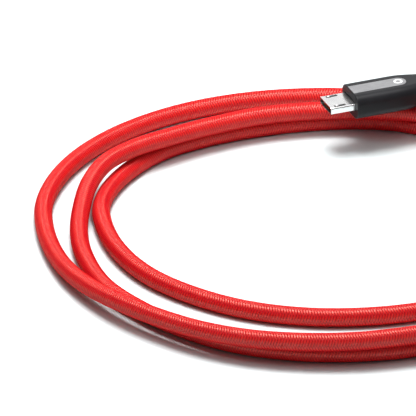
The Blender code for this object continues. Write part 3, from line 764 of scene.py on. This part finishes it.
def brushed_finish(name, turn):
    """Light grey anodising over a lengthwise brushed grain."""
    finish, place = new_finish(name, Metallic=0.75)
    along = place.node("ShaderNodeMapping", {}, {"Vector": place, "Rotation": (0.0, 0.0, -turn)})
    stretched = along.node("ShaderNodeMapping", {}, {"Vector": along, "Scale": (0.035, 1.0, 1.0)})
    grain = stretched.node("ShaderNodeTexNoise", {}, {"Vector": stretched, "Scale": 9000.0,
                                                      "Detail": 3.0, "Roughness": 0.65})
    cloud = place.node("ShaderNodeTexNoise", {}, {"Vector": place, "Scale": 300.0})
    feed(finish, Base_Color=(grain * 0.8 + cloud * 0.2).between(0.3, 0.72).blend(
        (0.26, 0.26, 0.27, 1.0), (0.42, 0.42, 0.43, 1.0)),
         Roughness=0.34 + grain * 0.18, Normal=grain.bump(0.000004))
    return finish


def inlay_strip(name, size, top, plug, finish):
    """The inlay, its upper edges eased."""
    strip = make_piece(name, strip_shape(*size, top - INLAY_DEPTH, top), plug, finish)
    soften(strip, 0.00007)
    return settle(strip)


def printed_ring(name, along, top, plug, finish):
    """A flat ring of ink standing a hair above the inlay."""
    shape = bmesh.new()
    steps = 48
    corners = [(RING_INSIDE, top - INK_HEIGHT), (RING_OUTSIDE, top - INK_HEIGHT),
               (RING_OUTSIDE, top + INK_HEIGHT), (RING_INSIDE, top + INK_HEIGHT)]
    rings = []
    for step in range(steps):
        angle = math.tau * step / steps
        rings.append([shape.verts.new((along + radius * math.cos(angle),
                                       radius * math.sin(angle), up)) for radius, up in corners])
    for ring, following in zip(rings, rings[1:] + rings[:1]):
        for index in range(len(corners)):
            after = (index + 1) % len(corners)
            shape.faces.new((ring[index], ring[after], following[after], following[index]))
    bmesh.ops.recalc_face_normals(shape, faces=shape.faces)
    return make_piece(name, shape, plug, finish)


white_ink, ink_place = new_finish("white_ink", Roughness=0.4)
ink_cover = ink_place.node("ShaderNodeTexNoise", {}, {"Vector": ink_place, "Scale": 2500.0})
feed(white_ink, Base_Color=ink_cover.blend((0.80, 0.80, 0.80, 1.0), (0.92, 0.92, 0.92, 1.0)))
micro_inlay = inlay_strip("micro_inlay", MICRO_INLAY, MICRO_SIZE[1] / 2, MICRO_PLUG,
                          brushed_finish("micro_brushed_grey", MICRO_TURN))
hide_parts("micro_top_panel")
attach(micro_inlay, "root")
micro_ring = printed_ring("micro_printed_ring", MICRO_INLAY[0] / 2 - MICRO_INLAY[1],
                          MICRO_SIZE[1] / 2, MICRO_PLUG, white_ink)
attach(micro_ring, "root")


# ---- The strain relief behind each plug ----
# A soft black sleeve over the end of the lead, its collar held inside the casing's tail. Cross
# slots, cut from the sides and from above and below in turn, let it bend in a fair curve.

RELIEF_BORE = 0.00185
RELIEF_STEPS = 40
RELIEF_LENGTH = 0.0130
SLOT_PITCH = 0.00135
SLOT_DEPTH = 0.00062
SLOT_SOLID = 0.0024


def slotted_tree():
    """Sinks cross slots into a sleeve that is modelled along X from its own origin."""
    tree, inputs = new_tree("slotted", [("Pitch", "Float"), ("Depth", "Float"), ("First", "Float"),
                                        ("Last", "Float"), ("Solid", "Float"),
                                        ("Finish", "Material")])
    shape = inputs["Shape"]
    place = shape.node("GeometryNodeInputPosition", {}, {})
    along = place.node("ShaderNodeSeparateXYZ", {}, {"Vector": place}, "X")
    across = place.node("ShaderNodeSeparateXYZ", {}, {"Vector": place}, "Y")
    up = place.node("ShaderNodeSeparateXYZ", {}, {"Vector": place}, "Z")
    radius = (across * across + up * up).math("SQRT")
    count = (inputs["First"] - along) / inputs["Pitch"]
    part = count.math("FRACT")
    from_above = count.math("FLOOR").math("FLOORED_MODULO", 2.0)
    reach = from_above * up.math("ABSOLUTE") + (1.0 - from_above) * across.math("ABSOLUTE")
    slot = part.between(0.24, 0.34) * (1.0 - part.between(0.66, 0.76))
    slot = slot * (reach / radius).between(0.30, 0.45)
    slot = slot * (along < inputs["First"]) * (inputs["Last"] < along)
    slot = slot * (inputs["Solid"] < radius)
    keep = 1.0 - slot * inputs["Depth"] / radius
    moved = keep.node("ShaderNodeCombineXYZ", {}, {"X": along, "Y": across * keep, "Z": up * keep})
    set_place = shape.node("GeometryNodeSetPosition", {}, {"Geometry": shape, "Position": moved})
    end_tree(tree, set_place, inputs["Finish"])
    return tree


def strain_relief(name, tail, shoulder, plug, finish):
    """The sleeve, from its collar in the casing to its rounded free end."""
    relief_front = tail - 0.0003
    relief_end = relief_front - RELIEF_LENGTH
    collar = RELIEF_BORE + 0.0005
    tip = 0.0027
    profile = [(tail + 0.0029, RELIEF_BORE), (tail + 0.0029, collar), (relief_front, collar),
               (relief_front, shoulder - 0.0001), (relief_front - 0.0001, shoulder)]
    rows_along = 150
    for step in range(1, rows_along):
        part = step / rows_along
        profile.append((relief_front - 0.0001 - part * (RELIEF_LENGTH - 0.0006),
                        shoulder + (tip - 0.0001 - shoulder) * part ** 0.8))
    for step in range(5):
        angle = math.radians(90.0 * step / 4)
        profile.append((relief_end + 0.0005 - 0.0005 * math.sin(angle),
                        tip - 0.0006 + 0.0005 * math.cos(angle)))
    profile.append((relief_end, RELIEF_BORE))
    shape = bmesh.new()
    rings = []
    for step in range(RELIEF_STEPS):
        angle = math.tau * step / RELIEF_STEPS
        rings.append([shape.verts.new((along, radius * math.cos(angle), radius * math.sin(angle)))
                      for along, radius in profile])
    for ring, following in zip(rings, rings[1:] + rings[:1]):
        for index in range(len(profile)):
            after = (index + 1) % len(profile)
            shape.faces.new((ring[index], ring[after], following[after], following[index]))
    bmesh.ops.recalc_face_normals(shape, faces=shape.faces)
    relief = make_piece(name, shape, Matrix.Identity(4), finish)
    run_tree(relief, slotted, Pitch=SLOT_PITCH, Depth=SLOT_DEPTH, First=relief_front - 0.0012,
             Last=relief_end + 0.0014, Solid=SLOT_SOLID, Finish=finish)
    relief.data.transform(plug)
    return relief


slotted = slotted_tree()
soft_black = moulded_finish("soft_black", (0.020, 0.020, 0.021), 0.50, 0.000006, 0.4)
micro_relief = strain_relief("micro_relief_sleeve", MICRO_TAIL, 0.0029, MICRO_PLUG, soft_black)
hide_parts("micro_strain_relief")
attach(micro_relief, "root")


# ---- The stripped end of the lead inside each plug ----
# The lead's black inner jacket is cut back to four coloured wires, soldered to the connector's
# block. A tinned brass ring is crimped on the jacket, and natural polyethylene is moulded over
# the joints to hold them.

jacket_black = moulded_finish("jacket_black", (0.025, 0.025, 0.026), 0.55, 0.000006)
natural_mould = moulded_finish("natural_mould", (0.72, 0.71, 0.66), 0.48, 0.000008)
tinned_brass, tin_place = new_finish("tinned_brass", Metallic=1.0)
tin_bloom = tin_place.node("ShaderNodeTexNoise", {}, {"Vector": tin_place, "Scale": 1400.0,
                                                      "Detail": 2.0})
feed(tinned_brass, Base_Color=tin_bloom.blend((0.52, 0.51, 0.49, 1.0), (0.68, 0.67, 0.64, 1.0)),
     Roughness=0.28 + tin_bloom * 0.2)
wire_colours = {"red": (0.60, 0.02, 0.02), "white": (0.80, 0.80, 0.78),
                "green": (0.02, 0.30, 0.06), "black": (0.02, 0.02, 0.02)}
for wire, colour in wire_colours.items():
    wire_finish = moulded_finish(wire + "_wire_sleeve", colour, 0.38, 0.000004)
    refinish(wire_finish, "micro_wire_" + wire, "usb_a_wire_" + wire)
refinish(jacket_black, "micro_jacket_end", "usb_a_jacket_end")
refinish(natural_mould, "micro_inner_mould", "usb_a_inner_mould")
refinish(tinned_brass, "micro_crimp_ring", "usb_a_crimp_ring")


# ---- The USB-A plug's metal shell ----
# A folded nickel-plated steel box, 12 mm by 4.5 mm, with a seam underneath and two square windows
# in its top and two below, where the socket's springs catch.

USB_A_PLUG = Matrix.Translation(USB_A_PLACE) @ Matrix.Rotation(USB_A_TURN, 4, "Z")
USB_A_SHELL_CORNERS = [(0.0060, -0.00225, 0.0006), (0.0060, 0.00225, 0.0006),
                       (-0.0060, 0.00225, 0.0006), (-0.0060, -0.00225, 0.0006)]
USB_A_SHELL_TAIL = -0.0065
USB_A_SHELL_NOSE = 0.01175
USB_A_SHEET = 0.0003
USB_A_WINDOWS = [(0.00425, 0.00675, across - 0.00115, across + 0.00115, side)
                 for across in (-0.00285, 0.00285) for side in (-1, 1)]
usb_a_metal_shell = folded_shell("usb_a_metal_shell", USB_A_SHELL_CORNERS, USB_A_SHEET,
                                 USB_A_SHELL_TAIL, USB_A_SHELL_NOSE, USB_A_WINDOWS, USB_A_PLUG)
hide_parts("usb_a_shell")
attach(usb_a_metal_shell, "root")


# ---- The USB-A plug's tongue and contacts ----
# A white nylon tongue fills the lower half of the mouth. Four gold-flashed strips lie on it: the
# outer two, for power, reach further forward than the inner two.

STRIP_WIDTH = 0.0010
STRIP_LOW = 0.00010
STRIP_HIGH = 0.00028
STRIP_BACK = 0.0003
tongue_white = moulded_finish("tongue_white", (0.78, 0.78, 0.75), 0.42, 0.000006)
refinish(tongue_white, "usb_a_tongue", "usb_a_rear_block")


def strip_contact(reach):
    """A flat strip whose nose curls down into the tongue."""
    shape = bmesh.new()
    nose = 0.00045
    line = [(STRIP_BACK, STRIP_HIGH), (reach - nose, STRIP_HIGH), (reach - nose * 0.4, 0.00025),
            (reach - nose * 0.1, 0.00019), (reach, STRIP_LOW), (STRIP_BACK, STRIP_LOW)]
    sides = [[shape.verts.new((along, across, up)) for along, up in line]
             for across in (-STRIP_WIDTH / 2, STRIP_WIDTH / 2)]
    shape.faces.new(sides[0])
    shape.faces.new(sides[1])
    for index in range(len(line)):
        after = (index + 1) % len(line)
        shape.faces.new((sides[0][index], sides[0][after], sides[1][after], sides[1][index]))
    bmesh.ops.recalc_face_normals(shape, faces=shape.faces)
    return shape


strip_pairs = []
for label, reach, aside, numbers in (("power", 0.0104, 0.0035, (1, 4)),
                                     ("data", 0.0094, 0.0010, (2, 3))):
    pair = contact_row("usb_a_" + label + "_contacts", strip_contact(reach), (0.0, -aside, 0.0),
                       (0.0, 2 * aside, 0.0), 2, USB_A_PLUG)
    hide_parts(*["usb_a_contact_" + str(number) for number in numbers])
    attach(pair, "root")
    strip_pairs.append(pair)


# ---- The USB-A plug's casing, inlay and strain relief ----
# The same make as the other plug's, larger: 15.6 mm by 8 mm and 30 mm long.

USB_A_SIZE = (0.0156, 0.0080, 0.0026)
USB_A_TAIL = -0.0300
USB_A_TAPER = [(-0.0178, 0.0156, 0.0080, 0.0026), (-0.0190, 0.0156, 0.0080, 0.0026),
               (-0.0220, 0.0146, 0.0079, 0.0028), (-0.0250, 0.0122, 0.0075, 0.0031),
               (-0.0275, 0.0098, 0.0071, 0.0033), (USB_A_TAIL, 0.0074, 0.0067, 0.00335)]
USB_A_MOUTH = (0.0123, 0.0048, 0.00075, 0.0015)
USB_A_HOLLOW = [(0.0134, 0.0058, 0.0016, -0.0185), (0.0098, 0.0051, 0.0022, -0.0235),
                (0.0062, 0.0050, 0.0025, -0.0270), (0.0050, 0.0050, 0.0025, USB_A_TAIL)]
USB_A_INLAY = (0.0062, 0.0180)
usb_a_casing = casing("usb_a_casing", USB_A_SIZE, USB_A_TAPER, USB_A_MOUTH, USB_A_HOLLOW,
                      USB_A_INLAY, USB_A_PLUG, gloss_black)
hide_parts("usb_a_housing")
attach(usb_a_casing, "root")
usb_a_inlay = inlay_strip("usb_a_inlay", USB_A_INLAY, USB_A_SIZE[1] / 2, USB_A_PLUG,
                          brushed_finish("usb_a_brushed_grey", USB_A_TURN))
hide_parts("usb_a_top_panel")
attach(usb_a_inlay, "root")
usb_a_ring = printed_ring("usb_a_printed_ring", USB_A_INLAY[0] / 2 - USB_A_INLAY[1],
                          USB_A_SIZE[1] / 2, USB_A_PLUG, white_ink)
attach(usb_a_ring, "root")
usb_a_relief = strain_relief("usb_a_relief_sleeve", USB_A_TAIL, 0.0032, USB_A_PLUG, soft_black)
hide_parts("usb_a_strain_relief")
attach(usb_a_relief, "root")


# ---- The pieces at the lead's far end ----
# 1.15 m of the lead lies free between the two plugs; here the USB-A plug and all it is made of are listed
# together.

far_pieces = [usb_a_metal_shell, usb_a_casing, usb_a_inlay, usb_a_ring, usb_a_relief,
              "usb_a_tongue", "usb_a_rear_block", "usb_a_inner_mould", "usb_a_jacket_end",
              "usb_a_crimp_ring"] + ["usb_a_wire_" + wire for wire in wire_colours] + strip_pairs
